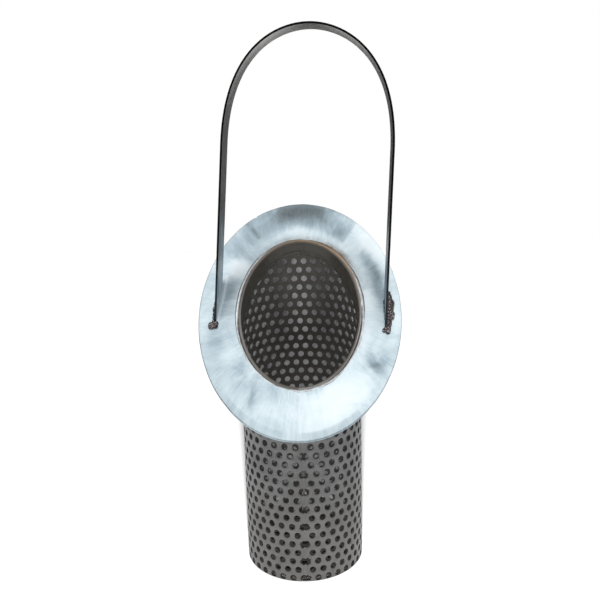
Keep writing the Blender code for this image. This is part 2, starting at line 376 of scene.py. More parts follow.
def tinted_steel():
    """Band, joint and rim welds: heat tint from dark grey to tan, worn bright, painted shade
    inside.
    """
    s = Shader("tinted_steel")
    place = s.place()
    clouds = s.noise(place, 75.0, 5.0, 0.6, 0.8)
    mottle = s.noise(place, 420.0, 4.0, 0.62)
    patches = s.ramp(clouds, (0.30, (0.115, 0.100, 0.125)), (0.45, (0.16, 0.145, 0.125)),
                     (0.60, (0.19, 0.175, 0.13)), (0.75, (0.215, 0.21, 0.20)))
    patches = s.mix(0.35, patches, s.ramp(mottle, (0.3, 0.25), (0.7, 0.75)), "OVERLAY")
    heat = s.attribute("scorch")
    shade = s.math("ADD", heat, s.math("MULTIPLY", s.math("SUBTRACT", mottle, 0.5), 0.6))
    burnt = s.ramp(shade, (0.30, (0.23, 0.20, 0.19)), (0.50, (0.35, 0.29, 0.255)),
                   (0.75, (0.38, 0.285, 0.195)), (1.0, (0.56, 0.42, 0.28)))
    colour = s.mix(s.ramp(heat, (0.0, 0.0), (0.4, 1.0)), patches, burnt)
    # Inside the band and on the joint weld, the colour is painted shade: a dark, dull grey.
    painted_inside_shade = s.mix(clouds, (0.075, 0.066, 0.066), (0.155, 0.147, 0.118))
    colour = s.mix(s.attribute("inside"), colour, painted_inside_shade)
    shine = s.math("MULTIPLY", s.attribute("shine"), s.ramp(mottle, (0.25, 0.55), (0.6, 1.0)), True)
    colour = s.mix(shine, colour, (0.93, 0.98, 1.0))
    s.bare_metal(0.6)
    rough = s.ramp(mottle, (0.3, 0.28), (0.7, 0.46))
    return s.finish(colour, rough, s.relief(mottle, 0.12 * MM, 0.6))


def strap_steel():
    """Cold-drawn flat bar: fine lines along it; painted reflections: near-black edges, blue-grey
    lower legs.
    """
    s = Shader("strap_steel", Metallic=1.0)
    place = s.place()
    lines = s.noise(s.stretched(place, (1.0, 1.0, 0.06)), 1500.0, 3.0, 0.6)
    clouds = s.noise(s.stretched(place, (1.0, 1.0, 0.5)), 60.0, 4.0, 0.6)
    spots = s.noise(place, 900.0, 3.0, 0.6)
    grey = s.ramp(clouds, (0.3, (0.27, 0.265, 0.26)), (0.7, (0.36, 0.355, 0.345)))
    grey = s.mix(0.35, grey, s.ramp(lines, (0.3, 0.22), (0.7, 0.78)), "OVERLAY")
    grey = s.mix(0.20, grey, s.ramp(spots, (0.3, 0.2), (0.7, 0.8)), "OVERLAY")
    # The lower legs' blue-grey is a painted reflection of the bright flange.
    painted_flange_reflection = s.attribute("painted_flange_reflection")
    colour = s.mix(painted_flange_reflection, grey, s.mix(clouds, (0.22, 0.29, 0.36), (0.33, 0.40, 0.46)))
    # The edges' near-black is a painted dark reflection.
    dark = s.mix(painted_flange_reflection, (0.014, 0.014, 0.015), (0.030, 0.046, 0.056))
    colour = s.mix(s.attribute("edge"), colour, dark)
    rough = s.ramp(s.noise(place, 260.0, 3.0, 0.6), (0.3, 0.30), (0.7, 0.46))
    return s.finish(colour, rough, s.relief(lines, 0.03 * MM, 0.5))


def weld_crust():
    """Unbrushed weld: purple-brown scale, lighter on its lumps, with bright bare specks."""
    s = Shader("weld_crust")
    place = s.place()
    lumps = s.noise(place, 850.0, 5.0, 0.7, 0.8)
    specks = s.noise(place, 1200.0, 2.0, 0.5)
    scale = s.ramp(lumps, (0.32, (0.016, 0.011, 0.015)), (0.46, (0.085, 0.050, 0.066)),
                   (0.57, (0.21, 0.165, 0.125)), (0.70, (0.50, 0.46, 0.44)))
    bare = s.ramp(specks, (0.56, 0.0), (0.63, 1.0))
    colour = s.mix(bare, scale, (0.86, 0.84, 0.87))
    metal = s.math("ADD", s.math("MULTIPLY", bare, 0.5), 0.5, True)
    s.tree.links.new(metal, s.principled.inputs["Metallic"])
    rough = s.ramp(lumps, (0.3, 0.62), (0.7, 0.34))
    return s.finish(colour, rough, s.relief(lumps, 0.3 * MM, 0.8))


def floor_paper():
    """Matt pale paper with faint fibres."""
    s = Shader("floor_paper", Specular_IOR_Level=0.0)
    fibres = s.noise(s.place(), 900.0, 3.0, 0.6)
    colour = s.ramp(fibres, (0.3, (0.49, 0.49, 0.49)), (0.7, (0.505, 0.505, 0.505)))
    return s.finish(colour, s.ramp(fibres, (0.3, 0.86), (0.7, 0.94)))


# ---------------------------------------------------------------- the tube
def hole_cell(rng, angle, height, first, last, ragged):
    """One hole's patch of sheet: rings of points from its brick-shaped edge to the hole.

    Points 0 to 24 run clockwise from the top's middle, 6 to each side of the brick. Each is
    (angle, height, depth, edge). A ragged hole is one that the seam's weld has bitten into.
    """
    wide, tall = PITCH / 2, ROW_STEP / 2
    radius = HOLE_R + rng.uniform(-0.04, 0.04) * MM
    lip = 0.35 * MM
    dip = 0.14 * MM
    rings = [[], [], []]
    for k in range(first, last + 1):
        turn = k * pi / 12
        side = ((k + 3) // 6) % 4
        step = ((k + 3) % 6 - 3) / 3
        brick = [(step * wide, tall), (wide, -step * tall), (-step * wide, -tall),
                 (-wide, step * tall)][side]
        reach = radius
        if ragged:
            bite = wobble(sin(turn) * 1.7, cos(turn) * 1.7, height * 900)
            reach += (0.10 + 0.75 * bite) * MM
        for ring, (away, depth, edge) in zip(rings[1:], ((lip, 0.0, 0.0), (0.0, dip, 1.0))):
            ring.append((sin(turn) * (reach + away), cos(turn) * (reach + away), depth, edge))
        rings[0].append((*brick, 0.0, 0.0))
    return [[(angle + x / SHELL_R, height + z, depth, edge) for x, z, depth, edge in ring]
            for ring in rings]


def outer_skin(rng):
    """The tube's outer skin with its holes, as points on the cylinder and quads.

    The sheet's two edges run through the odd rows' holes, so each edge has halves of holes.
    """
    points, faces = [], []
    start = SEAM_ANGLE + SEAM_W / 2 / SHELL_R
    seam_halves = {0: (0, 12), HALF_STEPS: (12, 24)}
    for row in ROWS:
        height = TOP_ROW_Z - row * ROW_STEP
        odd = row % 2
        for step in range(0 if odd else 1, HALF_STEPS + 1, 2):
            angle = start + step * HALF_STEP
            if height - ROW_STEP > SHELL_TOP_Z - cos(angle) * SHELL_R * JOINT_SLOPE:
                continue
            first_point, last_point = seam_halves.get(step, (0, 24))
            by_seam = step in seam_halves
            rings = hole_cell(rng, angle, height, first_point, last_point, by_seam)
            count = len(rings[0])
            first = len(points)
            for ring in rings:
                points += ring
            for r in range(2):
                a, b = first + r * count, first + (r + 1) * count
                faces += [(a + k, a + k + 1, b + k + 1, b + k) for k in range(count - 1)]
    return points, faces


def trim(bm, cuts):
    """Cuts the skin off past each (place, outward normal) and turns its faces outwards."""
    for spot, normal in cuts:
        everything = bm.verts[:] + bm.edges[:] + bm.faces[:]
        bmesh.ops.bisect_plane(bm, geom=everything, plane_co=spot, plane_no=normal,
                               clear_outer=True, dist=0.001 * MM)
    bm.normal_update()
    for face in bm.faces:
        middle = face.calc_center_median()
        if face.normal.x * middle.x + face.normal.y * middle.y < 0:
            face.normal_flip()


def thicken(bm, edge_layer, inside_layer):
    """Adds the inner skin, straight in from the outer one, and the walls of every opening."""
    twins = {}
    for vert in list(bm.verts):
        scale = BORE_R / sqrt(vert.co.x ** 2 + vert.co.y ** 2)
        twin = bm.verts.new((vert.co.x * scale, vert.co.y * scale, vert.co.z))
        twin[edge_layer] = vert[edge_layer]
        # the inner skin carries the inside's painted shade
        twin[inside_layer] = 1.0
        twins[vert] = twin
    outer = list(bm.faces)
    for face in outer:
        bm.faces.new([twins[vert] for vert in reversed(face.verts)])
    for face in outer:
        for loop in face.loops:
            if len(loop.edge.link_faces) == 1:
                a, b = loop.vert, loop.link_loop_next.vert
                bm.faces.new((b, a, twins[a], twins[b]))


def tube_wall(material):
    """The rolled perforated sheet, with every punched hole cut right through it."""
    points, faces = outer_skin(random.Random(11))
    mesh = bpy.data.meshes.new("skin")
    places = [(*around(angle, SHELL_R - depth), z) for angle, z, depth, edge in points]
    mesh.from_pydata(places, [], faces)
    bm = bmesh.new()
    bm.from_mesh(mesh)
    edge_layer = bm.verts.layers.float.new("edge")
    inside_layer = bm.verts.layers.float.new("inside")
    for vert, (angle, z, depth, edge) in zip(bm.verts, points):
        vert[edge_layer] = edge
    bmesh.ops.remove_doubles(bm, verts=bm.verts, dist=0.004 * MM)
    trim(bm, (((0, 0, 0), (0, 0, -1)), ((0, 0, SHELL_TOP_Z), (0, -JOINT_SLOPE, 1))))
    thicken(bm, edge_layer, inside_layer)
    bm.to_mesh(mesh)
    bm.free()
    ob = finished("tube_wall", mesh, material, 32)
    heat, tint = [], []
    for vert in ob.data.vertices:
        x, y, z = vert.co
        angle = atan2(x, -y)
        near_seam = bump((angle - SEAM_ANGLE) * SHELL_R, 0.0, 4.5 * MM)
        near_joint = smooth(16 * MM, 0.0, SHELL_TOP_Z + y * JOINT_SLOPE - z)
        heat.append(0.55 * near_seam + 0.6 * near_joint + 0.15 * wobble(x, y, z, scale=90.0))
        # tint grows towards the foot: a warmer grey outside, and painted light on the inner wall.
        tint.append(smooth(110 * MM, 10 * MM, z) * (0.7 + 0.3 * wobble(x, y, z, scale=50.0)))
    paint(ob, "scorch", heat)
    paint(ob, "tint", tint)
    return ob


def seam_weld(material):
    """Ground weld between the sheet's edges, broken by the double holes of the odd rows.

    Recessed webs of it cross two of those holes, and a wide patch closes the lowest one's foot.
    """
    rng = random.Random(5)
    top = SHELL_TOP_Z - SHELL_R * JOINT_SLOPE
    odd_rows = [TOP_ROW_Z - row * ROW_STEP for row in ROWS if row % 2]
    centres = [z for z in odd_rows if z < top + ROW_STEP]
    bite = 2.35  # millimetres from a double hole's centre to the weld, give or take a little
    half, proud = 1.75 * MM, 0.10 * MM
    web_half, web_reach, sunk = 1.0 * MM, 2.1 * MM, 0.65 * MM
    shells = []
    for upper, lower in zip(centres, centres[1:]):
        low = lower + (bite + rng.uniform(-0.45, 0.25)) * MM
        high = upper - (bite + rng.uniform(-0.45, 0.25)) * MM
        shells.append(seam_patch(low, min(high, top), half, proud))
    shells.append(seam_patch(0.0, 0.85 * MM, 2.6 * MM, 0.0, square=True))
    for row in (3, 5):
        middle = TOP_ROW_Z - row * ROW_STEP
        shells.append(seam_patch(middle - web_reach, middle + web_reach, web_half, -sunk))
    ob = from_faces("seam_weld", *joined(shells), material, 50)
    verts = ob.data.vertices
    skin_r = SHELL_R - 0.2 * MM
    paint(ob, "scorch", [0.35 + 0.4 * wobble(*vert.co, scale=300.0) for vert in verts])
    # its inner side carries most of the inside's painted shade
    paint(ob, "inside", [0.75 * (vert.co.xy.length < skin_r) for vert in verts])
    return ob


def seam_patch(low, high, half, proud, square=False):
    """One patch of the seam's weld, from low to high. Square ones have a straight lower end.

    Its width and its height over the sheet also pick its place in the noise.
    """
    sections = []
    steps = 16
    places = [k / 4 - 1 for k in range(9)]
    for i in range(steps + 1):
        t = i / steps
        z = low + (high - low) * t
        round_end = 1.0 if square and t < 0.5 else sqrt(max(0.02, 1 - abs(2 * t - 1) ** 6))
        width = half * round_end * (1 + 0.16 * wobble(z * 700, half, proud * 1e4))
        shift = 0.2 * MM * wobble(z * 500, 7.0, proud * 1e4)
        section = []
        for across in places:
            x = across * width
            crown = proud * (1 - across ** 2) if proud > 0 else proud
            lift = crown - 0.12 * MM * abs(across) + 0.05 * MM * wobble(x * 2e3, z * 900, 3.0)
            section.append((*around(SEAM_ANGLE + (x + shift) / SHELL_R, SHELL_R + lift), z))
        for across in reversed(places):
            x = across * width
            section.append((*around(SEAM_ANGLE + (x + shift) / SHELL_R, BORE_R - 0.05 * MM), z))
        sections.append(section)
    return loft(sections, False)


def disc_cutters():
    """Pegs on a triangular pattern, as in the CAD, that cut the floor disc's holes."""
    pitch = 8 * MM
    plain_edge = 6.8 * MM
    bm = bmesh.new()
    for row in range(-7, 8):
        for column in range(-8, 9):
            x = (column + 0.5 * (row % 2)) * pitch
            y = pitch / sqrt(3) + row * pitch * sqrt(3) / 2
            if x * x + y * y < (FLOOR_R - plain_edge) ** 2:
                bmesh.ops.create_cone(bm, cap_ends=True, segments=28, radius1=HOLE_R,
                                      radius2=HOLE_R + 0.1 * MM, depth=3 * FLOOR_T,
                                      matrix=Matrix.Translation((x, y, FLOOR_T / 2)))
    mesh = bpy.data.meshes.new("floor_cutters")
    bm.to_mesh(mesh)
    bm.free()
    cutters = bpy.data.objects.new("floor_cutters", mesh)
    bpy.context.scene.collection.objects.link(cutters)
    return cutters


def floor_disc(material):
    """The perforated disc in the tube's lower end, with painted light on its upper side: a light,
    dull grey.
    """
    bm = bmesh.new()
    bmesh.ops.create_cone(bm, cap_ends=True, segments=192, radius1=FLOOR_R, radius2=FLOOR_R,
                          depth=FLOOR_T)
    bmesh.ops.translate(bm, vec=(0, 0, FLOOR_T / 2), verts=bm.verts)
    rims = [edge for edge in bm.edges if abs(edge.verts[0].co.z - edge.verts[1].co.z) < 0.001 * MM]
    bmesh.ops.bevel(bm, geom=rims, offset=0.15 * MM, segments=2, affect="EDGES", profile=0.5)
    mesh = bpy.data.meshes.new("floor_disc")
    bm.to_mesh(mesh)
    bm.free()
    ob = finished("floor_disc", mesh, material, 30)
    cutters = disc_cutters()
    holes = ob.modifiers.new("Holes", "BOOLEAN")
    holes.operation = "DIFFERENCE"
    holes.solver = "EXACT"
    holes.object = cutters
    bake_modifiers(ob)
    bpy.data.objects.remove(cutters, do_unlink=True)
    verts = ob.data.vertices
    paint(ob, "scorch", [smooth(5 * MM, 0, FLOOR_R - vert.co.xy.length) * 0.8 for vert in verts])
    # The upper side takes the inside's colour, which tint lifts to a light grey: painted light at
    # the tube's foot.
    paint(ob, "tint", [1.2 + 0.3 * wobble(*vert.co, scale=60.0) for vert in verts])
    paint(ob, "inside", [1.0 * (vert.co.z > 0.5 * FLOOR_T) for vert in verts])
    return ob


def bake_modifiers(ob):
    """Replaces ob's mesh by what its modifiers make of it."""
    bpy.context.view_layer.update()
    evaluated = ob.evaluated_get(bpy.context.evaluated_depsgraph_get())
    mesh = bpy.data.meshes.new_from_object(evaluated)
    ob.modifiers.clear()
    ob.data = mesh
    mesh.set_sharp_from_angle(angle=radians(30))


def bead_ring(name, material, radius, height, thick, wave, seed, tall=1.0):
    """A rippled weld bead right round the tube; height is a function of the direction's y."""
    sections = []
    steps = 420
    for i in range(steps):
        angle = 2 * pi * i / steps
        x, y = sin(angle), -cos(angle)
        ripple = 1 + 0.10 * sin(angle * 118 + 2 * wobble(x * 3, y * 3, seed))
        size = thick * ripple * (1 + wave * wobble(x * 9, y * 9, seed))
        middle_r = radius + 0.25 * thick * wobble(x * 7, y * 7, seed + 5)
        middle_z = height(y) + 0.35 * thick * wobble(x * 6, y * 6, seed + 9)
        section = []
        for k in range(10):
            turn = 2 * pi * k / 10
            z = middle_z + tall * size * sin(turn)
            section.append((*around(angle, middle_r + size * cos(turn)), z))
        sections.append(section)
    return from_faces(name, *loft(sections, True), material, 60)


def floor_weld(material):
    """The bead between tube and floor disc."""
    return bead_ring("floor_weld", material, BORE_R - 0.7 * MM, lambda y: FLOOR_T + 0.6 * MM,
                     thick=0.62 * MM, wave=0.35, seed=3.0)


def joint_weld(material):
    """Fills the slanted joint between tube and band, and shows inside as a ragged line."""
    middle = (BORE_R + SHELL_R) / 2
    ob = bead_ring("joint_weld", material, middle, lambda y: JOINT_Z + y * middle * JOINT_SLOPE,
                   thick=0.92 * MM, wave=0.20, seed=8.0, tall=2.35)
    # the whole bead is painted dark with the inside's painted shade
    paint(ob, "inside", [1.0] * len(ob.data.vertices))
    return ob


# ---------------------------------------------------------------- neck and flange
def neck_loop():
    """The band's section as (share of the wall inwards, share of the height, lift, on the lip)."""
    rise = 14
    outer = [(0.0, k / rise, 0.0, 0.0) for k in range(rise + 1)]
    lip = [(inset, 1.0, -drop * NECK_T, 1.0)
           for inset, drop in ((0.08, 0.07), (0.2, 0.0), (0.5, 0.0), (0.84, 0.0), (0.97, 0.08))]
    inner = [(1.0, k / rise, -0.5 * NECK_T, 0.0) for k in range(rise, -1, -1)]
    return outer + lip + inner


def lip_shine(degrees, inset):
    """How bright the band's top edge is worn: at the left, at the front and at the right."""
    shine = 0.15 * bump(degrees, 285, 45) + 0.25 * bump(degrees, 0, 30) * (inset < 0.6)
    return shine + 0.55 * bump(degrees, 88, 30) * (inset < 0.3)


def neck_sleeve(material):
    """The plain band, cut on the slant at both ends, with a worn, hand-cut top edge."""
    sections, heat, shine, inside = [], [], [], []
    steps = 360
    for i in range(steps):
        angle = 2 * pi * i / steps
        x, y = sin(angle), -cos(angle)
        degrees = angle * 180 / pi
        orange = 0.24 + 0.60 * bump(degrees, 155, 55) + 0.2 * bump(degrees, 225, 40)
        ragged = 0.12 * MM * wobble(x * 14, y * 14, 2.0)
        uneven = 0.2 * MM * wobble(x * 30, y * 30, 4.0)
        section = []
        for inset, t, lift, lip in neck_loop():
            radius = NECK_R - inset * NECK_T
            low = JOINT_Z + JOINT_GAP / 2 + y * radius * JOINT_SLOPE + uneven
            top = RIM_Z + y * radius * RIM_SLOPE + ragged
            z = low + (top - low) * t + lift * t
            dent = 0.06 * MM * abs(wobble(x * 5, y * 5, z * 60)) if inset > 0.5 else 0.0
            section.append((*around(angle, radius - dent), z))
            near_top = max(lip, smooth(5 * MM, 0.3 * MM, top - z))
            heat.append(min(1.0, near_top * orange + 0.10 * wobble(x * 9, y * 9, z * 200)))
            shine.append(lip * lip_shine(degrees, inset))
            # the inner face, and the lip's inner part, carry the inside's painted shade
            inside.append(0.95 * smooth(0.1, 0.75, inset) if lip else inset)
        sections.append(section)
    ob = from_faces("neck_sleeve", *loft(sections, True), material, 25)
    paint(ob, "scorch", heat)
    paint(ob, "shine", shine)
    paint(ob, "inside", inside)
    return ob


def rim_shine(degrees, t):
    """How bright the rim weld is ground: less along its edges and where heat stained it."""
    left = smooth(195, 225, degrees) * smooth(362, 345, degrees)
    inner_line = bump(t, 0.06, 0.10) * (1 - 0.9 * bump(degrees, 85, 30))
    outer_line = 0.75 * left * bump(t, 0.80, 0.11)
    stain = bump(degrees, 148, 26) * (1.15 - 0.75 * t) + 0.75 * bump(degrees, 182, 26) * (1 - t)
    stain += 0.40 * bump(degrees, 45, 22)
    return 0.72 + 0.25 * left - 0.85 * (inner_line + outer_line) - stain


def rim_bead(material):
    """The ground ring of weld between band and flange: nearly flush, with a soft ridge.

    On the left a groove runs along its outer edge.
    """
    sections, heat, shine = [], [], []
    steps = 480
    across = 8
    inner = NECK_R - 0.05 * MM
    outer = NECK_R + 2.9 * MM
    root = -FLANGE_T * 0.8
    for i in range(steps):
        angle = 2 * pi * i / steps
        x, y = sin(angle), -cos(angle)
        degrees = angle * 180 / pi
        rim_height = RIM_Z + y * NECK_R * RIM_SLOPE - flange_height(y * NECK_R)
        reach = outer + 0.5 * MM * wobble(x * 4, y * 4, 1.0)
        on_left = smooth(230, 260, degrees) * smooth(345, 325, degrees)
        warm = bump(degrees, 145, 30) + 0.6 * bump(degrees, 180, 40)
        section = []
        for k in range(across + 1):
            t = k / across
            fillet = (1 - t) ** 1.6 * (rim_height * FLANGE_N.z - 0.15 * MM)
            ridge = 0.34 * MM * bump(t, 0.45, 0.28) * (1 + 0.5 * wobble(x * 12, y * 12, t))
            groove = -0.30 * MM * bump(t, 0.80, 0.10) * on_left
            lift = fillet + ridge + groove + 0.05 * MM - 0.22 * MM * t ** 4
            section.append((inner + (reach - inner) * t, lift))
            uneven = 1 + 0.5 * wobble(x * 10, y * 10, t)
            heat.append(min(1.0, warm * (1 - 0.5 * t) * uneven + 0.3))
            shine.append(max(0.0, rim_shine(degrees, t) + 0.35 * wobble(x * 16, y * 16, t * 2)))
        section += [(reach, root), (inner, root)]
        heat += [0.2, 0.2]
        shine += [0.2, 0.2]
        ring = []
        for radius, lift in section:
            px, py = around(angle, radius)
            ring.append((px, py, flange_height(py, lift)))
        sections.append(ring)
    ob = from_faces("rim_bead", *loft(sections, True), material, 60)
    paint(ob, "scorch", heat)
    paint(ob, "shine", shine)
    return ob


# Patches of tone on the flange: angle and radius of the middle, half-widths, and how much
# lighter (+) or darker (-) the plate is there. Degrees and millimetres.
PATCHES = (
    (174, 70, 24, 9, -0.47), (174, 60, 9, 6, -0.16), (150, 60, 4, 6, -0.16), (152, 70, 9, 6, 0.16),
    (-168, 68, 12, 8, -0.20), (-150, 66, 12, 10, -0.14), (-132, 64, 10, 9, -0.10),
    # the patch at -121 degrees on this line is a painted highlight
    (-121, 56, 7, 7, 0.34), (-103, 54, 8, 4, -0.20), (-75, 64, 12, 8, -0.10), (-85, 72, 9, 4, 0.08),
    (-62, 57, 6, 8, 0.08), (-32, 61, 4, 6, -0.20), (-50, 54, 6, 5, -0.07), (-40, 69, 8, 5, 0.08),
    (-12, 62, 14, 10, 0.10), (32, 60, 22, 12, 0.26), (59, 63, 4.5, 7, -0.42), (70, 52, 9, 4, 0.08),
    (112, 62, 9, 5, -0.30), (122, 61, 8, 5, -0.18), (98, 52, 10, 5, 0.26),
    (130, 71, 16, 6, 0.36), (180, 54, 22, 4, 0.20), (88, 71, 16, 4, 0.14),
)
# Radial lines where the plate's tone steps: angle, inner and outer radius, darkness.
JOINTS = ((-147, 59, 75, 0.15), (0, 50, 71, 0.04))


def plate_tone(angle, radius):
    """The flange's tone, from dark (0) to bright (1), with a painted highlight by the bore at -121
    degrees.
    """
    degrees = angle * 180 / pi
    reach = radius / MM
    wander = 4 * wobble(sin(angle) * 6, cos(angle) * 6, reach * 0.08)
    tone = 0.70
    for middle, far, wide, deep, change in PATCHES:
        turn = turned_from(middle, degrees + wander)
        tone += change * exp(-((turn / wide) ** 2) - ((reach - far) / deep) ** 2)
    for middle, low, high, dark in JOINTS:
        turn = turned_from(middle + 0.15 * (reach - low), degrees)
        if low < reach < high:
            tone -= dark * exp(-((turn / 1.7) ** 2))
    by_foot = turned_from(-99, degrees)
    bright_line = bump(reach, 58.2 + 2 * (by_foot / 13) ** 2, 0.75)
    tone += 0.55 * bright_line * smooth(15, 12, abs(by_foot))
    past_step = turned_from(143, degrees)
    tone -= 0.16 * smooth(-1.0, 1.0, past_step) * smooth(24, 6, past_step) * smooth(54, 58, reach)
    from_front = turned_from(0, degrees)
    tone += 0.09 * smooth(-1.0, 0.6, from_front) * smooth(50, 20, degrees) * smooth(49, 52, reach)
    return tone


def lip_depth(angle):
    """How much of the plate's upper outer edge was ground away: most of it front right."""
    degrees = turned_from(0, angle * 180 / pi)
    return (0.10 + 0.50 * smooth(-6, 6, degrees) * smooth(44, 26, degrees)
            + 0.25 * smooth(-60, -40, degrees) * smooth(0, -12, degrees)) * MM


def flange_loop(angle, inner, outer):
    """The plate's section as (radius, lift over the flat top face), from the bore round."""
    x, y = sin(angle), -cos(angle)
    across = 44
    under = 6
    loop = []
    for k in range(across + 1):
        radius = inner + (outer - 0.25 * MM - inner) * k / across
        wave = 0.10 * MM * wobble(x * 3.2, y * 3.2, radius * 45, octaves=2)
        wave += 0.025 * MM * wobble(x * 16, y * 16, radius * 150)
        ground = lip_depth(angle) * max(0.0, 1 - (outer - radius) / (4.6 * MM))
        loop.append((radius, wave - 0.12 * MM - ground))
    edge = loop[-1][1]
    loop += [(outer - 0.06 * MM, edge - 0.10 * MM), (outer, edge - 0.30 * MM)]
    loop += [(outer, -FLANGE_T + 0.25 * MM), (outer - 0.2 * MM, -FLANGE_T)]
    loop += [(inner + (outer - 0.3 * MM - inner) * (1 - k / under), -FLANGE_T)
             for k in range(under + 1)]
    return loop, edge


def flange_ring(material):
    """The sloping ring plate: gently wavy from grinding, with an uneven edge and one nick."""
    sections, tone, heat = [], [], []
    steps = 720
    inner = NECK_R + 2.2 * MM
    for i in range(steps):
        angle = 2 * pi * i / steps
        x, y = sin(angle), -cos(angle)
        degrees = angle * 180 / pi
        rough = 0.16 * MM * (1 + wobble(x * 5, y * 5, 3.0))
        rough += 0.05 * MM * (1 + wobble(x * 40, y * 40, 5.0))
        nick = 0.7 * MM * bump(degrees, 209, 0.5)
        outer = FLANGE_R - 0.02 * MM - max(0.0, rough) - nick
        ground = smooth(0.15 * MM, 0.60 * MM, lip_depth(angle))
        stain = bump(degrees, 141, 17) + 0.35 * bump(degrees, 185, 30)
        loop, edge = flange_loop(angle, inner, outer)
        section = []
        for radius, lift in loop:
            px, py = around(angle, radius)
            section.append(Vector((px, py, flange_height(py))) + FLANGE_N * lift)
            shade = plate_tone(angle, radius)
            # Painted shade: the ground-away lip is painted a little darker.
            shade -= 0.11 * ground * smooth(5.0 * MM, 3.8 * MM, outer - radius)
            tone.append(0.45 if lift < edge - 0.15 * MM else shade)
            by_bore = 0.95 * smooth(5.0 * MM, 0.5 * MM, radius - inner)
            uneven = 1 + 0.7 * wobble(x * 9, y * 9, radius * 300)
            heat.append(min(1.0, by_bore * stain * uneven))
        sections.append(section)
    ob = from_faces("flange_ring", *loft(sections, True), material, 40)
    paint(ob, "tone", tone)
    paint(ob, "scorch", heat)
    return ob


# ---------------------------------------------------------------- handle
def handle_frame():
    """The handle's own axes: X across it, Y along the strap's width, Z up its middle."""
    skew = Matrix.Identity(4)
    skew[1][0] = STRAP_SKEW
    turn = Matrix.Rotation(STRAP_TURN, 4, "Z") @ Matrix.Rotation(STRAP_BACK, 4, "X")
    lean = Matrix.Rotation(STRAP_LEAN, 4, "Y")
    return Matrix.Translation(STRAP_ORIGIN) @ skew @ turn @ lean


def arch_line(steps):
    """(place, tangent) along the arch from the right shoulder over the crown to the left."""
    leg = Vector((ARCH_HALF - FOOT_HALF, ARCH_RISE + FOOT_DROP)).normalized()
    start = Vector((ARCH_HALF, ARCH_RISE))
    onward = start + leg * LEG_PULL * (APEX_RISE - ARCH_RISE)
    crown = Vector((0, APEX_RISE))
    before = crown + Vector((CROWN_PULL * ARCH_HALF, 0))
    right = []
    for i in range(steps + 1):
        t = i / steps
        place = (start * (1 - t) ** 3 + onward * 3 * t * (1 - t) ** 2
                 + before * 3 * t * t * (1 - t) + crown * t ** 3)
        way = ((onward - start) * (1 - t) ** 2 + (before - onward) * 2 * t * (1 - t)
               + (crown - before) * t * t)
        right.append((place, way.normalized()))
    left = [(Vector((-p.x, p.y)), Vector((w.x, -w.y))) for p, w in right[-2::-1]]
    return right + left


def strap_profile():
    """The bar's section: (along the width, across the thickness), with rounded corners."""
    half_w, half_t = STRAP_W / 2, STRAP_T / 2
    corner = 0.42 * MM
    loop = []
    for cx, cy, first in ((1, 1, 0), (-1, 1, 90), (-1, -1, 180), (1, -1, 270)):
        for k in range(4):
            turn = radians(first + 30 * k)
            loop.append((cx * (half_w - corner) + corner * cos(turn),
                         cy * (half_t - corner) + corner * sin(turn)))
    return loop


def strap_leg(shoulder, side):
    """A straight leg's sections, from the flange up to just before the shoulder's own."""
    axes = handle_frame()
    foot = []
    for high, (along, across) in zip(shoulder, strap_profile()):
        low = axes @ Vector((side * (FOOT_HALF + across), along, -FOOT_DROP))
        over_low = low.z - flange_height(low.y, -0.15 * MM)
        over_high = high.z - flange_height(high.y, -0.15 * MM)
        foot.append(low.lerp(high, over_low / (over_low - over_high)))
    steps = 40
    return [[low.lerp(high, i / steps) for low, high in zip(foot, shoulder)] for i in range(steps)]


def strap_bar(material):
    """The bent flat bar. Each leg is ruled from the arch's end to its own line on the flange."""
    axes = handle_frame()
    profile = strap_profile()
    arch = []
    for place, way in arch_line(64):
        out = Vector((way.y, -way.x))
        spots = [(place + out * across, along) for along, across in profile]
        arch.append([axes @ Vector((spot.x, along, spot.y)) for spot, along in spots])
    whole = strap_leg(arch[0], 1) + arch + strap_leg(arch[-1], -1)[::-1]
    ob = from_faces("strap_bar", *loft(whole, False), material, 40)
    painted_flange_reflection, edge = [], []
    for section in whole:
        for (along, across), spot in zip(profile, section):
            # Painted reflection of the flange, strongest just above it; the edges get a painted
            # dark reflection.
            painted_flange_reflection.append(0.9 * smooth(45 * MM, 25 * MM, spot.z - flange_height(spot.y)))
            edge.append(float(abs(along) > STRAP_W / 2 - 0.35 * MM))
    paint(ob, "painted_flange_reflection", painted_flange_reflection)
    paint(ob, "edge", edge)
    return ob


def foot_spot(side, along, out, lift):
    """A point beside the outer face of a foot, that far out from it and over the flange."""
    axes = handle_frame()
    half_t = STRAP_T / 2
    low = axes @ Vector((side * (FOOT_HALF + half_t), along, -FOOT_DROP))
    high = axes @ Vector((side * (ARCH_HALF + half_t), along, ARCH_RISE))
    over_low = low.z - flange_height(low.y)
    over_high = high.z - flange_height(high.y)
    spot = low.lerp(high, over_low / (over_low - over_high))
    return Vector((spot.x + side * out, spot.y, flange_height(spot.y, lift)))


def crust(name, balls, material, seed):
    """A lumpy weld: overlapping balls fused into one skin, then roughened."""
    bm = bmesh.new()
    for centre, radius in balls:
        bmesh.ops.create_icosphere(bm, subdivisions=2, radius=radius,
                                   matrix=Matrix.Translation(centre))
    mesh = bpy.data.meshes.new(name)
    bm.to_mesh(mesh)
    bm.free()
    ob = finished(name, mesh, material)
    fuse = ob.modifiers.new("Fuse", "REMESH")
    fuse.mode = "VOXEL"
    fuse.voxel_size = 0.22 * MM
    bake_modifiers(ob)
    mesh = ob.data
    for vert, normal in zip(mesh.vertices, [vert.normal.copy() for vert in mesh.vertices]):
        x, y, z = vert.co / MM
        rough = 0.16 * wobble(x * 0.9, y * 0.9, z * 0.9 + seed)
        rough += 0.07 * wobble(x * 2.6, y * 2.6, z * 2.6 + seed)
        vert.co += normal * rough * MM
    mesh.shade_smooth()
    mesh.set_sharp_from_angle(angle=radians(70))
    return ob


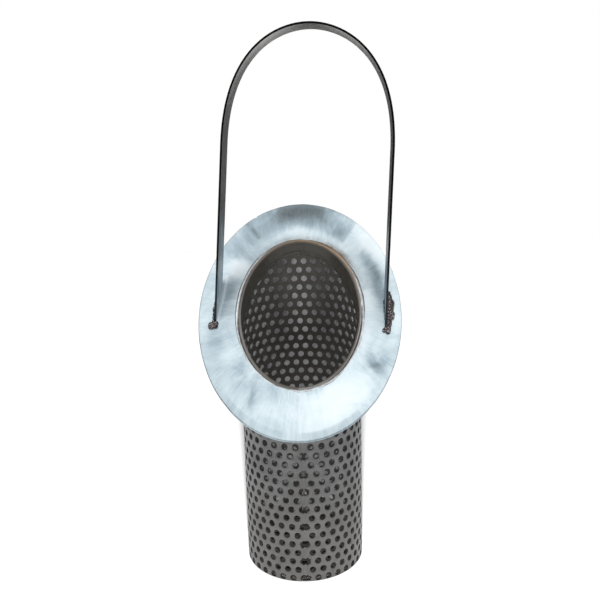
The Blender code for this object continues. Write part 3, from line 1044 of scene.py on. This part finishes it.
def foot_crust(name, side, material, front, size, lump, seed):
    """The bead down a foot's outer side, with a group of lumps under the strap's front end.

    Front says how far they reach past the strap, and size and lump are the balls' radii.
    """
    rng = random.Random(seed)
    half = STRAP_W / 2
    back = half - 3.5 * MM
    tip = -half - 1.0 * MM - front
    balls = []
    count = 26
    for i in range(count):
        t = i / (count - 1)
        along = back + (tip - back) * t
        swell = 0.50 + 0.42 * sin(pi * min(1.0, 1.15 * t))
        radius = size * swell * (1 + rng.uniform(-0.14, 0.16))
        out = radius * rng.uniform(0.35, 0.75)
        balls.append((foot_spot(side, along, out, radius * rng.uniform(0.25, 0.5)), radius))
    for _ in range(7):
        along = -half - front * rng.uniform(0.2, 1.1)
        radius = lump * rng.uniform(0.75, 1.15)
        out = lump * rng.uniform(-1.1, 0.9)
        balls.append((foot_spot(side, along, out, radius * 0.3), radius))
    for _ in range(40):
        centre, radius = balls[rng.randrange(count)]
        way = Vector((rng.uniform(-1, 1), rng.uniform(-1, 1), rng.uniform(0.1, 1))).normalized()
        balls.append((centre + way * radius * 0.9, radius * rng.uniform(0.22, 0.38)))
    return crust(name, balls, material, seed)


# ---------------------------------------------------------------- stage
def studio_floor():
    """Pale paper just under the object, reaching past the view on every side."""
    mesh = bpy.data.meshes.new("studio_floor")
    half = STUDIO_HALF
    mesh.from_pydata([(-half, -half, 0), (half, -half, 0), (half, half, 0), (-half, half, 0)],
                     [], [(0, 1, 2, 3)])
    floor = finished("studio_floor", mesh, floor_paper())
    floor.location.z = -0.1 * MM
    floor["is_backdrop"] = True
    return floor


def studio_air():
    """White where the camera sees it, and only a dim grey light on everything else."""
    world = bpy.data.worlds.new("studio_air")
    bpy.context.scene.world = world
    world.use_nodes = True
    tree = world.node_tree
    tree.nodes.clear()
    shown = tree.nodes.new("ShaderNodeBackground")
    shown.inputs["Color"].default_value = (1.0, 1.0, 1.0, 1)
    lit = tree.nodes.new("ShaderNodeBackground")
    lit.inputs["Color"].default_value = (0.97, 0.98, 1.0, 1)
    lit.inputs["Strength"].default_value = ROOM_LIGHT
    rays = tree.nodes.new("ShaderNodeLightPath")
    pick = tree.nodes.new("ShaderNodeMixShader")
    out = tree.nodes.new("ShaderNodeOutputWorld")
    tree.links.new(rays.outputs["Is Camera Ray"], pick.inputs[0])
    tree.links.new(lit.outputs[0], pick.inputs[1])
    tree.links.new(shown.outputs[0], pick.inputs[2])
    tree.links.new(pick.outputs[0], out.inputs[0])


def lit_group(name, objects):
    """A collection of what a lamp lights."""
    group = bpy.data.collections.new(name)
    for ob in objects:
        group.objects.link(ob)
    return group


def studio(pieces):
    """The floor under low lamps of its own, and two soft panels that light only the object.

    The floor's lamps are straight below the camera, so the tube hides its own shadow.
    """
    floor = studio_floor()
    studio_air()
    on_floor = lit_group("lit_floor", [floor])
    on_object = lit_group("lit_object", pieces)
    for letter, height in zip("abc", FLOOR_LAMP_HEIGHTS):
        place = (CAMERA_PLACE.x, CAMERA_PLACE.y, height)
        low = even_light("floor_light_" + letter, place, FLOOR_LIGHT / len(FLOOR_LAMP_HEIGHTS))
        low.light_linking.receiver_collection = on_floor
    panel = softbox("top_panel", PANEL_PLACE, (0, 0, 0.2), PANEL_SIZE, PANEL_LIGHT)
    panel.light_linking.receiver_collection = on_object
    side = softbox("front_softbox", SOFTBOX_PLACE, (0, 0, 0.15), SOFTBOX_SIZE, SOFTBOX_LIGHT)
    side.light_linking.receiver_collection = on_object


def even_light(name, place, power):
    """A small lamp that lights a level floor equally at every distance from it.

    Distance and slant would dim the floor with the cube of the distance; two falloff nodes undo it.
    """
    light = bpy.data.lights.new(name, "POINT")
    light.energy = power
    light.shadow_soft_size = FLOOR_LAMP_R
    light.use_nodes = True
    tree = light.node_tree
    once = tree.nodes.new("ShaderNodeLightFalloff")
    once.inputs["Strength"].default_value = 1 / place[2]
    twice = tree.nodes.new("ShaderNodeLightFalloff")
    tree.links.new(once.outputs["Linear"], twice.inputs["Strength"])
    tree.links.new(twice.outputs["Constant"], tree.nodes["Emission"].inputs["Strength"])
    return hung(name, light, place)


def hung(name, light, place):
    ob = bpy.data.objects.new(name, light)
    bpy.context.scene.collection.objects.link(ob)
    ob.location = place
    return ob


def softbox(name, place, target, size, radiance):
    """A square panel turned towards its target, as bright per area as its radiance says."""
    light = bpy.data.lights.new(name, "AREA")
    light.shape = "SQUARE"
    light.size = size
    light.energy = radiance * pi * size * size
    ob = hung(name, light, place)
    ob.rotation_euler = (Vector(target) - Vector(place)).to_track_quat("-Z", "Y").to_euler()
    return ob


def camera():
    """From the front, high enough to see down into the tube's mouth."""
    data = bpy.data.cameras.new("photo_camera")
    data.sensor_width = 36
    data.lens = CAMERA_LENS
    data.clip_start = 0.01
    ob = bpy.data.objects.new("photo_camera", data)
    bpy.context.scene.collection.objects.link(ob)
    turn = Matrix.Rotation(CAMERA_YAW, 4, "Z") @ Matrix.Rotation(pi / 2 + CAMERA_PITCH, 4, "X")
    turn = turn @ Matrix.Rotation(CAMERA_ROLL, 4, "Z")
    ob.matrix_world = Matrix.Translation(CAMERA_PLACE) @ turn
    bpy.context.scene.camera = ob


# ---------------------------------------------------------------- all together
def add(piece, nodes):
    """Puts a piece into the frame in place of its CAD nodes."""
    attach(piece, "root")
    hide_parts(*nodes)


def build():
    sheet = perforated_steel()
    ground = ground_steel()
    tinted = tinted_steel()
    bar = strap_steel()
    scale = weld_crust()
    add(tube_wall(sheet), ["perforated_shell"])
    add(seam_weld(sheet), ["shell_seam_weld"])
    add(floor_disc(sheet), ["bottom_plate"])
    add(floor_weld(scale), ["bottom_weld"])
    add(joint_weld(tinted), ["neck_joint_weld"])
    add(neck_sleeve(tinted), ["neck_band"])
    add(rim_bead(tinted), ["rim_weld"])
    add(flange_ring(ground), ["flange_plate"])
    add(strap_bar(bar), ["handle_strap"])
    left = foot_crust("foot_weld_left", -1, scale, 3.4 * MM, 1.5 * MM, 2.1 * MM, 21)
    right = foot_crust("foot_weld_right", 1, scale, 0.6 * MM, 3.9 * MM, 1.7 * MM, 33)
    add(left, ["handle_weld_left"])
    add(right, ["handle_weld_right"])
    studio(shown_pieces())
    camera()


build()
bpy.context.scene.view_settings.view_transform = "Standard"
